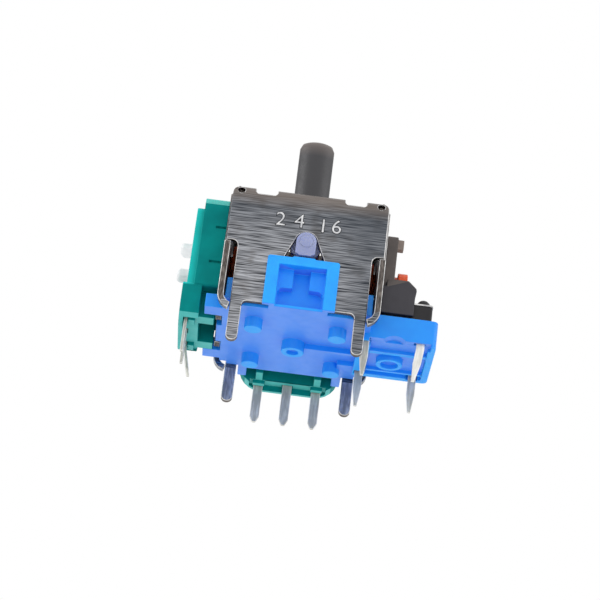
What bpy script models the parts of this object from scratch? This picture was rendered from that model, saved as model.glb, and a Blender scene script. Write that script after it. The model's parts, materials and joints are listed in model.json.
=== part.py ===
# Two-axis thumb-stick module with a push switch.
# The object stands on its solder legs: +Z runs up the stick, X runs along the front flap, Y runs to the back.
# The origin lies on the stick's axis, on the plane where the blue bosses touch a circuit board.
# All sizes are in millimetres and are turned into metres when a mesh is made.

import math

import bmesh
import bpy
from mathutils import Matrix, Vector

for old in list(bpy.data.objects):
    bpy.data.objects.remove(old, do_unlink=True)

MM = 0.001

# Driving dimensions of the metal frame
frame_half = 6.585
sheet = 0.5
frame_top = 11.64
bend_radius = 0.9
flap_bottom = 1.13
back_flap_bottom = 2.15
side_flap_bottom = 2.15
wall_in = frame_half - sheet
roof_under = frame_top - sheet
bend_line = frame_half - bend_radius
flap_edge = frame_half - 0.145
slot_width = 0.6
slot_edge = wall_in - slot_width
slot_top = 6.4
slot_corner = 0.48
leg_width = 0.95
leg_inner = slot_edge - leg_width
leg_tip = -2.42
leg_round = 0.45
leg_fillet = 0.4
top_hole_radius = frame_half - 1.585
arch_radius = 0.92
arch_foot = 1.85
arch_foot_height = 4.95
bracket_opening = 2.45
bracket_opening_top = 4.75
notch_inner = 2.8
notch_outer = 4.58
notch_depth = 0.79
notch_corner = 0.35
notch_back = wall_in - 0.935
relief_radius = 0.31
relief_x = frame_half - 0.9 * bend_radius
relief_drop = 0.6
tab_radius = 1.3
tab_length = 0.6
tab_start = 1.6
tab_sweep = 74.0
crimp_near = 2.2
crimp_far = 3.2
crimp_bottom = 1.1
clearance = 0.05

# The two tilt axes cross at this height
axis_height = 6.9

# Driving dimensions of the blue base
plate_bottom = 0.9
plate_top = 1.7
plate_side = wall_in - 0.055
plate_front = wall_in - 0.085
plate_back = wall_in + 0.315
corner_side = wall_in - 0.635
corner_depth = wall_in - 0.585
lug_side = frame_half - 0.115
lug_half = 1.6
arm_near = 3.45
arm_far = 5.0
arm_reach = frame_half + 0.915
arm_top = 2.1
back_arm_near = 3.65
back_arm_far = 4.4
back_arm_reach = frame_half + 1.465
boss_x = 3.43
boss_y = 3.56
boss_radius = 0.73
centre_boss_radius = 0.95
dimple_radius = 0.5
dimple_depth = 0.35
rib_bottom = 0.42
rib_half = 0.2
post_inner = wall_in - 1.085
post_outer = wall_in - 0.135
post_depth = wall_in - 0.935
post_length = 0.8
post_bottom = 1.42
post_top = 3.3
bracket_half = 2.93
bracket_top = 5.27
bracket_bottom = plate_bottom
bracket_front = frame_half + 0.435
bracket_bar = 1.0
bracket_lip = 0.95
bracket_lip_height = 0.1
bracket_neck_half = bracket_opening - clearance
bracket_neck_top = bracket_opening_top - clearance
recess_top = 4.56
recess_depth = 0.85
deep_recess_depth = 1.55
deep_slot_half = 0.68
deep_wide_half = 1.85
deep_shoulder = 2.85
tray_bottom = 0.25
tray_top = 2.65
tray_corner = 0.45
tray_floor_under = 0.62
tray_wall = 0.6
spring_seat_radius = 1.55
spring_seat_top = 2.3

# Driving dimensions of the push switch, beside the frame's right wall
switch_x = frame_half + 1.405
switch_y = -0.24
switch_half = 3.0
switch_bottom = plate_bottom + 0.08
switch_body_top = 4.17
cover_thickness = 0.13
cover_overlap = 0.03
cover_low = switch_body_top + 0.03
cover_high = cover_low + cover_thickness
switch_bore = 1.85
switch_bore_floor = 2.55
stud_x = 2.25
stud_y = 2.25
stud_radius = 0.6
stud_height = 0.66
stud_neck = 0.7 * stud_radius
plunger_radius = switch_bore - 0.1
plunger_bottom = 3.3
plunger_top = 4.94
dome_radius = switch_bore - 0.15
dome_height = 0.3
dome_thickness = 0.09
pin_pitch_x = 2.25
pin_pitch_y = 3.25
pin_width = 0.68
pin_thickness = 0.2
pin_room = 0.07
pin_top = 1.6
pin_bend = 0.1
pin_taper_start = -1.15
pin_point_half = 0.13
pin_tip = -2.76
bent_pin_shift = -0.36
tray_right = switch_x + switch_half + 0.53
tray_front = switch_half - switch_y + 0.64
tray_back = switch_half + switch_y + 0.79

# Driving dimensions of the push slider, which slides on the frame's right wall
slider_plate_inner = frame_half + 0.135
slider_plate_outer = slider_plate_inner + 0.9
slider_plate_half = 3.0
slider_plate_top = 10.4
slider_plate_round = 0.25
slider_outer = switch_x + 1.51
slider_front = switch_y - switch_half - 0.46
slider_back = switch_y + switch_half + 0.49
slider_block_bottom = plunger_top + 0.06
slider_block_top = 6.08
slider_shoulder = 5.47
slider_slope = 0.72
slider_skirt_bottom = tray_top + 0.35
slider_skirt_top = slider_block_bottom + 0.4
nub_outer = slider_plate_outer + 0.5
nub_bottom = 9.24
nub_top = 10.14
nub_front = -2.9
nub_length = 0.65

# Driving dimensions of the yokes and the stick
bar_radius = 1.05
collar_radius = 1.9
collar_in = wall_in - 0.885
collar_out = wall_in - 0.185
journal_radius = 1.4
journal_in = frame_half + 1.415
journal_out = journal_in + 0.8
slider_groove = journal_radius + 0.15
hub_x = 2.2
hub_y = 2.0
hub_half_height = 0.9
blade_half_width = 0.45
blade_half_height = 1.0
blade_end = frame_half + 1.515
back_journal_radius = 1.2
pivot_hole = back_journal_radius + 0.1
pin_radius = 0.45
pin_clearance = 0.05
pin_length = 2.0 * hub_y - 0.1
stick_half_x = 1.47
stick_half_y = 2.0
stick_top = 19.17
stick_shoulder = frame_top + 0.56
stick_neck_top = stick_shoulder - 0.3
stick_neck_radius = 1.25
stick_neck_step = 0.55
stick_foot_radius = 2.0
stick_chamfer_in = 0.5
stick_chamfer_drop = 0.75
stick_eye_radius = pin_radius + pin_clearance
hub_inner_x = stick_neck_radius + 0.5
hub_inner_y = stick_neck_radius + 0.1
arch_outer = axis_height - 3.3
arch_inner = arch_outer - 0.7
arch_half_angle = 35.0
arch_slot_half_width = stick_neck_radius + 0.25
arch_slot_half_length = 2.95
cheek_in = wall_in - 0.885
cheek_out = wall_in - 0.185
cheek_half = 1.25
arch_half_length = cheek_in + 0.1
tongue_half = 0.82
tongue_front = bracket_front - 0.12
tongue_reach = 1.32
tongue_mark_radius = 0.55
tongue_mark_height = 0.06

# Driving dimensions of the green sensor housings, measured outward from the frame's wall
housing_gap = 0.05
housing_body = 2.05
housing_plate = 2.65
housing_foot = 2.95
housing_half = 4.4
housing_plate_half = 4.05
housing_foot_half = 4.3
housing_top = 11.1
housing_plate_top = 10.3
housing_step = 3.0
housing_bottom = 0.2
housing_corner = 2.0
foot_inner_left = 1.35
foot_inner_back = 1.6
cavity_half = 3.7
cavity_bottom = 3.6
cavity_top = 10.25
cavity_depth = 1.75
under_recess_top = 0.75
under_recess_half = 3.3
under_recess_wall = 0.38
left_lug = (1.8, 3.1)
back_lug = (2.2, 2.8)
terminal_out = 2.365
terminal_pitch = 2.5
terminal_width = 0.8
terminal_thickness = 0.25
terminal_clearance = 0.06
terminal_top = 2.6
terminal_bend = 0.4
terminal_point = 0.55
terminal_rib = 0.55
left_terminal_tip = -2.2
back_terminal_tip = -2.9
bent_terminal_shift = 0.6
element_in = 0.15
element_out = 0.6
element_half = cavity_half - 0.2
element_margin = 0.15
element_hole = 1.6
rotor_disc_in = element_out + 0.45
rotor_disc_out = cavity_depth - 0.15
rotor_disc_radius = 3.1
rotor_boss_radius = 1.8
rotor_boss_out = housing_plate + 0.1
rotor_lug_out = rotor_boss_out + 1.02
rotor_lug_near = 0.95
rotor_lug_far = 1.75
rotor_lug_half = 0.95
rotor_slot_half_width = blade_half_width + 0.1
rotor_slot_half_height = blade_half_height + 0.15
rotor_slot_depth = 2.3
housing_bore = rotor_boss_radius + 0.1
wiper_in = rotor_disc_in - 0.18
wiper_out = rotor_disc_in - 0.05
wiper_ring_in = 1.7
wiper_ring_out = 2.6
wiper_bump_in = element_out + 0.06
wiper_bump_radius = 0.15

# Driving dimensions of the return spring and its plate
spring_radius = 2.25
spring_wire = 0.17
spring_bottom = plate_top + 0.06 + spring_wire
spring_turns = 4.5
spring_plate_radius = 2.9
spring_plate_top = axis_height - stick_foot_radius - 0.1
spring_plate_thickness = 0.6
spring_plate_bottom = spring_plate_top - spring_plate_thickness
spring_height = spring_plate_bottom - 0.08 - spring_wire - spring_bottom


def material(name, colour, metallic, roughness):
    made = bpy.data.materials.new(name)
    made.use_nodes = True
    shader = made.node_tree.nodes["Principled BSDF"]
    shader.inputs["Base Color"].default_value = (*colour, 1.0)
    shader.inputs["Metallic"].default_value = metallic
    shader.inputs["Roughness"].default_value = roughness
    made.diffuse_color = (*colour, 1.0)
    return made


nickel = material("nickel_plated_steel", (0.20, 0.21, 0.22), 1.0, 0.38)
blue = material("blue_moulded_nylon", (0.028, 0.27, 0.90), 0.0, 0.42)
green = material("green_moulded_nylon", (0.005, 0.31, 0.27), 0.0, 0.45)
grey = material("dark_grey_acetal", (0.085, 0.08, 0.09), 0.0, 0.5)
orange = material("orange_moulded_acetal", (0.72, 0.13, 0.045), 0.0, 0.45)
pale = material("pale_moulded_acetal", (0.50, 0.50, 0.70), 0.0, 0.4)
white = material("white_moulded_acetal", (0.80, 0.80, 0.82), 0.0, 0.4)
black = material("black_moulded_nylon", (0.02, 0.018, 0.018), 0.0, 0.5)
board = material("dark_resin_board", (0.03, 0.02, 0.015), 0.0, 0.55)
tin = material("tinned_bronze", (0.36, 0.36, 0.40), 1.0, 0.35)
bronze = material("spring_bronze", (0.50, 0.33, 0.16), 1.0, 0.35)
steel = material("spring_steel", (0.33, 0.33, 0.34), 1.0, 0.3)

parts = bpy.data.collections.new("thumb_stick_module")
bpy.context.scene.collection.children.link(parts)
cutters = bpy.data.collections.new("cutters")
bpy.context.scene.collection.children.link(cutters)


def settled(mesh):
    """Rounds coordinates to a tenth of a micrometre, so faces meant to share a plane do."""
    for point in mesh.vertices:
        point.co = [round(value, 7) for value in point.co]
    return mesh


def finish_mesh(shape, name):
    bmesh.ops.recalc_face_normals(shape, faces=shape.faces)
    mesh = bpy.data.meshes.new(name)
    shape.to_mesh(mesh)
    shape.free()
    return settled(mesh)


def evaluated(helper, name, scale=1.0, plain_caps=False):
    """The welded mesh of a curve or of an object with modifiers, which is then removed."""
    bpy.context.scene.collection.objects.link(helper)
    graph = bpy.context.evaluated_depsgraph_get()
    raw = bpy.data.meshes.new_from_object(helper.evaluated_get(graph))
    shape = bmesh.new()
    shape.from_mesh(raw)
    bpy.data.objects.remove(helper, do_unlink=True)
    bpy.data.meshes.remove(raw)
    bmesh.ops.scale(shape, vec=(scale, scale, scale), verts=shape.verts)
    bmesh.ops.remove_doubles(shape, verts=shape.verts, dist=5e-7)
    for level in sorted({round(point.co.z, 7) for point in shape.verts} if plain_caps else []):
        cap = [face for face in shape.faces if all(abs(point.co.z - level) < 1e-7 for point in face.verts)]
        bmesh.ops.dissolve_faces(shape, faces=cap, use_verts=False)
    return finish_mesh(shape, name)


def block(x0, x1, y0, y1, z0, z1):
    """A box between six coordinates."""
    shape = bmesh.new()
    bmesh.ops.create_cube(shape, size=1.0)
    size = Vector((x1 - x0, y1 - y0, z1 - z0)) * MM
    middle = Vector((x0 + x1, y0 + y1, z0 + z1)) * 0.5 * MM
    bmesh.ops.scale(shape, vec=size, verts=shape.verts)
    bmesh.ops.translate(shape, vec=middle, verts=shape.verts)
    return finish_mesh(shape, "block")


turns = {
    "X": Matrix(((0, 0, 1), (1, 0, 0), (0, 1, 0))),
    "Y": Matrix(((1, 0, 0), (0, 0, -1), (0, 1, 0))),
    "Z": Matrix.Identity(3),
}


def laid(mesh, axis, middle, half):
    """Turns a shape built about Z onto an axis and moves it; middle gives the other two coordinates."""
    mesh.transform(turns[axis].to_4x4())
    a, b = middle
    place = {"X": (half, a, b), "Y": (a, half, b), "Z": (a, b, half)}[axis]
    mesh.transform(Matrix.Translation(Vector(place) * MM))
    return settled(mesh)


def rod(axis, middle, radius, start, end, sides=32, end_radius=None):
    """A cylinder or cone along an axis, from start to end."""
    shape = bmesh.new()
    last = radius if end_radius is None else end_radius
    bmesh.ops.create_cone(
        shape, cap_ends=True, segments=sides, radius1=radius * MM, radius2=last * MM, depth=(end - start) * MM
    )
    return laid(finish_mesh(shape, "rod"), axis, middle, 0.5 * (start + end))


def rounded(corners, steps=5):
    """An outline whose corners (x, y, radius) are rounded with arcs."""
    outline = []
    count = len(corners)
    for i, (x, y, radius) in enumerate(corners):
        here = Vector((x, y))
        if radius <= 0.0:
            outline.append(here)
            continue
        before = Vector(corners[i - 1][:2]) - here
        after = Vector(corners[(i + 1) % count][:2]) - here
        before.normalize()
        after.normalize()
        half_angle = before.angle(after) / 2
        reach = radius / math.tan(half_angle)
        middle = here + (before + after).normalized() * (radius / math.sin(half_angle))
        first = here + before * reach - middle
        last = here + after * reach - middle
        from_angle = math.atan2(first.y, first.x)
        sweep = math.atan2(last.y, last.x) - from_angle
        sweep = (sweep + math.pi) % math.tau - math.pi
        for k in range(steps + 1):
            angle = from_angle + sweep * k / steps
            outline.append(middle + Vector((math.cos(angle), math.sin(angle))) * radius)
    return outline


def arc(middle, radius, start, end, steps):
    """Points on a circle from one angle to another, in degrees."""
    points = []
    for k in range(steps + 1):
        angle = math.radians(start + (end - start) * k / steps)
        points.append(Vector((middle[0] + radius * math.cos(angle), middle[1] + radius * math.sin(angle))))
    return points


def extruded(outline, axis, start, end):
    """A flat outline, filled on both sides, with a thickness along an axis; drawn in millimetres."""
    drawing = bpy.data.curves.new("outline", "CURVE")
    drawing.dimensions = "2D"
    drawing.fill_mode = "BOTH"
    drawing.extrude = 0.5 * (end - start)
    line = drawing.splines.new("POLY")
    line.points.add(len(outline) - 1)
    for point, (a, b) in zip(line.points, outline):
        point.co = (a, b, 0.0, 1.0)
    line.use_cyclic_u = True
    mesh = evaluated(bpy.data.objects.new("outline", drawing), "extruded", scale=MM, plain_caps=True)
    return laid(mesh, axis, (0.0, 0.0), 0.5 * (start + end))


def turned_solid(profile, sides):
    """A profile of (radius, height) pairs, down its outer side, turned about Z; its ends lie on the axis."""
    line = bpy.data.meshes.new("profile")
    corners = [(radius * MM, 0.0, height * MM) for radius, height in profile]
    line.from_pydata(corners, [(i, i + 1) for i in range(len(corners) - 1)], [])
    turned = bpy.data.objects.new("profile", line)
    lathe = turned.modifiers.new("turn", "SCREW")
    lathe.axis = "Z"
    lathe.angle = math.tau
    lathe.steps = sides
    lathe.render_steps = sides
    lathe.use_merge_vertices = True
    lathe.merge_threshold = 1e-7
    return evaluated(turned, "turned")


def moved(mesh, x=0.0, y=0.0, z=0.0):
    mesh.transform(Matrix.Translation(Vector((x, y, z)) * MM))
    return settled(mesh)


def cutter(mesh, name, place):
    helper = bpy.data.objects.new(name, mesh)
    helper.location = place
    helper.hide_render = True
    helper.display_type = "WIRE"
    cutters.objects.link(helper)
    return helper


def piece(name, look, mesh, steps=(), origin=(0.0, 0.0, 0.0), smooth=30.0):
    """One part: a first mesh, then unions ("+") and cuts ("-") in order, with its origin on its joint."""
    place = Vector(origin) * MM
    moved(mesh, *[-value for value in origin])
    mesh.name = name
    mesh.materials.append(look)
    made = bpy.data.objects.new(name, mesh)
    made.location = place
    parts.objects.link(made)
    for number, (kind, other) in enumerate(steps):
        moved(other, *[-value for value in origin])
        other.materials.append(look)
        change = made.modifiers.new(f"step_{number + 1}", "BOOLEAN")
        change.operation = "UNION" if kind == "+" else "DIFFERENCE"
        change.solver = "EXACT"
        change.object = cutter(other, f"{name}_step_{number + 1}", place)
    mesh.shade_smooth()
    mesh.set_sharp_from_angle(angle=math.radians(smooth))
    return made


def mirrored(outline):
    """The right half of an outline, from bottom to top, joined to its mirror image on the left."""
    return list(outline) + [Vector((-p[0], p[1])) for p in reversed(list(outline))]


# The folded frame: side walls and roof are one bent strip, the front and back flaps another
side_profile = rounded(
    [
        (-frame_half, side_flap_bottom, 0),
        (-frame_half, frame_top, bend_radius),
        (frame_half, frame_top, bend_radius),
        (frame_half, side_flap_bottom, 0),
        (wall_in, side_flap_bottom, 0),
        (wall_in, roof_under, bend_radius - sheet),
        (-wall_in, roof_under, bend_radius - sheet),
        (-wall_in, side_flap_bottom, 0),
    ]
)
strip_bottom = roof_under - 1.54
strip_end = frame_half - bend_radius - 0.02


def bend_strip(side):
    """The bend from the roof into the front flap (-1) or the back flap (1)."""
    outline = rounded(
        [
            (frame_half, strip_bottom, 0),
            (frame_half, frame_top, bend_radius),
            (strip_end, frame_top, 0),
            (strip_end, roof_under, 0),
            (wall_in, roof_under, bend_radius - sheet),
            (wall_in, strip_bottom, 0),
        ]
    )
    outline = [Vector((side * point.x, point.y)) for point in outline]
    return extruded(outline, "X", -flap_edge, flap_edge)


def flap_outline(bottom):
    """The flat outline of the front or the back flap, legs included."""
    half = [
        (0.0, bottom, 0),
        (leg_inner, bottom, leg_fillet),
        (leg_inner, leg_tip, leg_round),
        (slot_edge, leg_tip, leg_round),
        (slot_edge, slot_top, slot_corner),
        (flap_edge, slot_top, 0),
        (flap_edge, strip_bottom + 0.3, 0),
        (0.0, strip_bottom + 0.3, 0),
    ]
    points = rounded(half)[1:-1]
    return mirrored(points)


arch_centre = axis_height + 0.07
arch_half = rounded(
    [
        (bracket_opening, 0.0, 0),
        (bracket_opening, bracket_opening_top, 0.15),
        (arch_foot + 0.05, bracket_opening_top, 0),
        (arch_foot, arch_foot_height, 0),
    ]
)
arch_slope = math.degrees(math.atan2(arch_foot - arch_radius, arch_centre - arch_foot_height))
arch_outline = mirrored(arch_half + arc((0.0, arch_centre), arch_radius, arch_slope * 0.5, 90.0, 6)[:-1])


def tab(sign_x, sign_y):
    """One rolled corner tab that holds the base, at the foot of a side wall."""
    middle = (frame_half - tab_radius, tab_start)
    outer = arc(middle, tab_radius, 0.0, -tab_sweep, 8)
    inner = arc(middle, tab_radius - sheet, -tab_sweep, 0.0, 8)
    outline = [Vector((frame_half, side_flap_bottom + 0.4))] + outer + inner
    outline.append(Vector((wall_in, side_flap_bottom + 0.4)))
    outline = [Vector((sign_x * p[0], p[1])) for p in outline]
    far = sign_y * frame_half
    near = sign_y * (frame_half - tab_length)
    return extruded(outline, "Y", min(far, near), max(far, near))


def corner_outside(sign_x):
    """The space outside one rounded upper corner of a flap, seen from the front."""
    middle = (flap_edge - bend_radius, frame_top - bend_radius)
    outline = arc(middle, bend_radius, 0.0, 90.0, 6)
    outline += [
        Vector((middle[0], frame_top + 1.0)),
        Vector((frame_half + 1.0, frame_top + 1.0)),
        Vector((frame_half + 1.0, middle[1])),
    ]
    return [Vector((sign_x * point[0], point[1])) for point in outline]


above = frame_top + 1.0
beyond = frame_half + 1.0
wall_end = wall_in + 0.05
slot_gap = slot_top - 0.1
roof_side = flap_edge - 0.49
frame_steps = [
    ("-", block(-beyond, beyond, -beyond, -wall_end, slot_gap, above)),
    ("-", block(-beyond, beyond, wall_end, beyond, slot_gap, above)),
    ("-", block(-roof_side, roof_side, -beyond, -bend_line, strip_bottom, above)),
    ("-", block(-roof_side, roof_side, bend_line, beyond, strip_bottom, above)),
    ("+", bend_strip(-1)),
    ("+", bend_strip(1)),
    ("+", extruded(flap_outline(flap_bottom), "Y", -frame_half, -wall_in)),
    ("+", extruded(flap_outline(back_flap_bottom), "Y", wall_in, frame_half)),
]
for sx in (-1, 1):
    frame_steps.append(("-", extruded(corner_outside(sx), "Y", -beyond, -bend_line + 0.1)))
    frame_steps.append(("-", extruded(corner_outside(sx), "Y", bend_line - 0.1, beyond)))
    for sy in (-1, 1):
        frame_steps.append(("+", tab(sx, sy)))
for sy in (-1, 1):
    near = sy * crimp_near
    far = sy * crimp_far
    crimp = block(-frame_half, -wall_in, min(near, far), max(near, far), crimp_bottom, side_flap_bottom + 0.4)
    frame_steps.append(("+", crimp))
frame_steps += [
    ("-", rod("Z", (0.0, 0.0), top_hole_radius, roof_under - 1.0, above, sides=64)),
    ("-", extruded(arch_outline, "Y", -frame_half - 0.5, -wall_in + 0.3)),
    ("-", rod("Y", (0.0, axis_height), pivot_hole, wall_in - 0.3, frame_half + 0.3)),
    ("-", rod("X", (0.0, axis_height), pivot_hole, -frame_half - 0.3, -wall_in + 0.3)),
]
window_near = -tray_front - 0.12
window_far = tray_back + 0.15
window_top = cover_high + stud_height + 0.05
plunger_way = 0.7 * plunger_radius + 0.03
slot_low = axis_height - 0.5
slot_round = pivot_hole - 0.1
arm_slot = rounded(
    [
        (-pivot_hole, slot_low - pivot_hole, slot_round),
        (pivot_hole, slot_low - pivot_hole, slot_round),
        (pivot_hole, axis_height + pivot_hole, slot_round),
        (-pivot_hole, axis_height + pivot_hole, slot_round),
    ]
)
notch_y = (switch_y - plunger_way, switch_y + plunger_way)
frame_steps += [
    ("-", block(wall_in - 0.3, frame_half + 0.3, window_near, window_far, 0.0, window_top)),
    ("-", block(wall_in - 0.3, frame_half + 0.3, *notch_y, window_top - 0.5, plunger_top + 0.56)),
    ("-", extruded(arm_slot, "X", wall_in - 0.3, frame_half + 0.3)),
]
for sx in (-1, 1):
    for sy in (-1, 1):
        notch = rounded(
            [
                (sx * notch_inner, frame_top - notch_depth, notch_corner),
                (sx * notch_outer, frame_top - notch_depth, notch_corner),
                (sx * notch_outer, above, 0),
                (sx * notch_inner, above, 0),
            ]
        )
        y0, y1 = sorted((sy * notch_back, sy * beyond))
        frame_steps.append(("-", extruded(notch, "Y", y0, y1)))
        y0, y1 = sorted((sy * (bend_line + 0.15), sy * beyond))
        relief = rod("Y", (sx * relief_x, frame_top - relief_drop), relief_radius, y0, y1, sides=12)
        frame_steps.append(("-", relief))
piece("frame", nickel, extruded(side_profile, "Y", -frame_half, frame_half), frame_steps)


# The blue base: a plate with arms, posts, bosses, the front bracket and the switch tray
def plate_outline():
    half = [
        (corner_side, -plate_front),
        (corner_side, -corner_depth),
        (plate_side, -corner_depth),
        (plate_side, -lug_half),
        (lug_side, -lug_half),
        (lug_side, lug_half),
        (plate_side, lug_half),
        (plate_side, corner_depth),
        (corner_side, corner_depth),
        (corner_side, plate_front),
        (back_arm_far, plate_front),
        (back_arm_far, back_arm_reach),
        (back_arm_near, back_arm_reach),
        (back_arm_near, plate_back),
    ]
    right = [Vector(p) for p in half]
    left = [Vector((-p[0], p[1])) for p in reversed(half)]
    return right + left


base_steps = []
for sy in (-1, 1):
    y0, y1 = sorted((sy * arm_near, sy * arm_far))
    base_steps.append(("+", block(-arm_reach, -corner_side + 0.3, y0, y1, plate_bottom, arm_top)))
for sx in (-1, 1):
    x0, x1 = sorted((sx * back_arm_near, sx * back_arm_far))
    base_steps.append(("+", block(x0, x1, plate_front - 0.4, back_arm_reach, plate_bottom, arm_top)))
    x0, x1 = sorted((sx * post_inner, sx * post_outer))
    for sy in (-1, 1):
        y0, y1 = sorted((sy * post_depth, sy * (post_depth + post_length)))
        base_steps.append(("+", block(x0, x1, y0, y1, post_bottom, post_top)))
tray_outline = rounded(
    [
        (wall_in - 0.885, -tray_front, 0),
        (tray_right, -tray_front, tray_corner),
        (tray_right, tray_back, tray_corner),
        (wall_in - 0.885, tray_back, 0),
    ],
    steps=4,
)
base_steps.append(("+", extruded(tray_outline, "Z", tray_bottom, tray_top)))
base_steps.append(("+", block(boss_x + rib_bottom, wall_in + 0.215, 2.2, 3.3, rib_bottom, plate_bottom + 0.3)))
for sx in (-1, 1):
    for sy in (-1, 1):
        base_steps.append(("+", rod("Z", (sx * boss_x, sy * boss_y), boss_radius, 0.0, plate_bottom + 0.3, sides=20)))
base_steps += [
    ("+", rod("Z", (0.0, 0.0), centre_boss_radius, 0.0, plate_bottom + 0.3, sides=28)),
    ("+", block(dimple_radius, wall_in - 0.485, -rib_half, rib_half, rib_bottom, plate_bottom + 0.3)),
    ("+", rod("Z", (0.0, 0.0), spring_seat_radius, plate_top - 0.3, spring_seat_top, sides=28)),
]
flange = rounded(
    [
        (-bracket_half, bracket_bottom, 0),
        (bracket_half, bracket_bottom, 0),
        (bracket_half, bracket_top, 0.2),
        (bracket_lip, bracket_top, 0),
        (bracket_lip - 0.1, bracket_top + bracket_lip_height, 0),
        (-bracket_lip + 0.1, bracket_top + bracket_lip_height, 0),
        (-bracket_lip, bracket_top, 0),
        (-bracket_half, bracket_top, 0.2),
    ],
    steps=3,
)
base_steps += [
    (
        "+",
        block(
            -bracket_neck_half,
            bracket_neck_half,
            -frame_half - 0.215,
            -wall_in + 0.935,
            plate_bottom,
            bracket_neck_top,
        ),
    ),
    ("+", extruded(flange, "Y", -bracket_front, -frame_half - clearance)),
]
recess_half = bracket_half - bracket_bar
recess_floor = plate_bottom + 0.25
flat_plane = -bracket_front + recess_depth
deep_plane = -bracket_front + deep_recess_depth
deep_half = [
    (0.0, recess_floor, 0),
    (deep_wide_half, recess_floor, 0),
    (deep_wide_half, deep_shoulder, 0.5),
    (deep_slot_half, deep_shoulder, 0),
    (deep_slot_half, recess_top, 0),
    (0.0, recess_top, 0),
]
deep_outline = mirrored(rounded(deep_half, steps=4)[1:-1])
base_steps += [
    ("-", block(-recess_half, recess_half, -8.0, flat_plane, recess_floor, recess_top)),
    ("-", block(-recess_half, recess_half, -8.0, -6.6, 0.0, recess_floor + 0.2)),
    ("-", extruded(deep_outline, "Y", -8.0, deep_plane)),
    ("-", rod("Z", (0.0, 0.0), dimple_radius, -0.5, dimple_depth, sides=20)),
]
pocket = switch_half + clearance
under_left = wall_in + 0.165
ring = (switch_x + 0.06, switch_y + 0.44)
ring_radius = 1.1
ring_hole_radius = 0.75
rib_top = plate_bottom - 0.1
mouth_end = -tray_front + 0.9
base_steps += [
    ("-", block(switch_x - pocket, switch_x + pocket, switch_y - pocket, switch_y + pocket, plate_bottom + 0.06, 5.0)),
    (
        "-",
        block(
            under_left,
            tray_right - tray_wall,
            -tray_front + tray_wall,
            tray_back - tray_wall,
            -0.5,
            tray_floor_under,
        ),
    ),
    ("-", block(under_left - 0.2, tray_right - 0.4, -tray_front - 0.5, mouth_end, -0.5, 0.55)),
    ("-", rod("Y", (ring[0] + 0.1, -0.35), 1.25, -tray_front - 0.5, mouth_end, sides=32)),
    ("+", rod("Z", ring, ring_radius, 0.05, rib_top, sides=28)),
    ("-", rod("Z", ring, ring_hole_radius, -0.5, 0.45, sides=20)),
    ("+", block(under_left - 0.15, tray_right - 0.3, -1.75, -1.25, 0.3, rib_top)),
    ("+", block(under_left - 0.15, tray_right - 0.3, 2.0, 2.3, 0.3, rib_top)),
]
for sx in (-1, 1):
    middle = switch_x + sx * pin_pitch_x
    low = middle - pin_width / 2 - pin_room
    high = middle + pin_width / 2 + pin_room
    if sx > 0:
        low += bent_pin_shift * 0.3
    front = switch_y - pin_pitch_y
    back = switch_y + pin_pitch_y
    reach = pin_thickness / 2 + pin_room
    way_top = pin_top + 0.15
    base_steps.append(("-", block(low, high, front - reach, switch_y - switch_half + 0.2, -0.5, way_top)))
    base_steps.append(("-", block(low, high, switch_y + switch_half - 0.2, back + reach, -0.5, way_top)))
piece("base", blue, extruded(plate_outline(), "Z", plate_bottom, plate_top), base_steps)


# The sensor housings are built once in their own directions: u along the wall, w outward, z up
left_turn = Matrix(((0, -1, 0, -frame_half * MM), (1, 0, 0, 0), (0, 0, 1, 0), (0, 0, 0, 1)))
back_turn = Matrix(((1, 0, 0, 0), (0, 1, 0, frame_half * MM), (0, 0, 1, 0), (0, 0, 0, 1)))


def to_side(mesh, side):
    """Carries a mesh from the housing's directions (x = u, y = w) to the left wall or the back wall."""
    mesh.transform(left_turn if side == "left" else back_turn)
    return settled(mesh)


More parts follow.
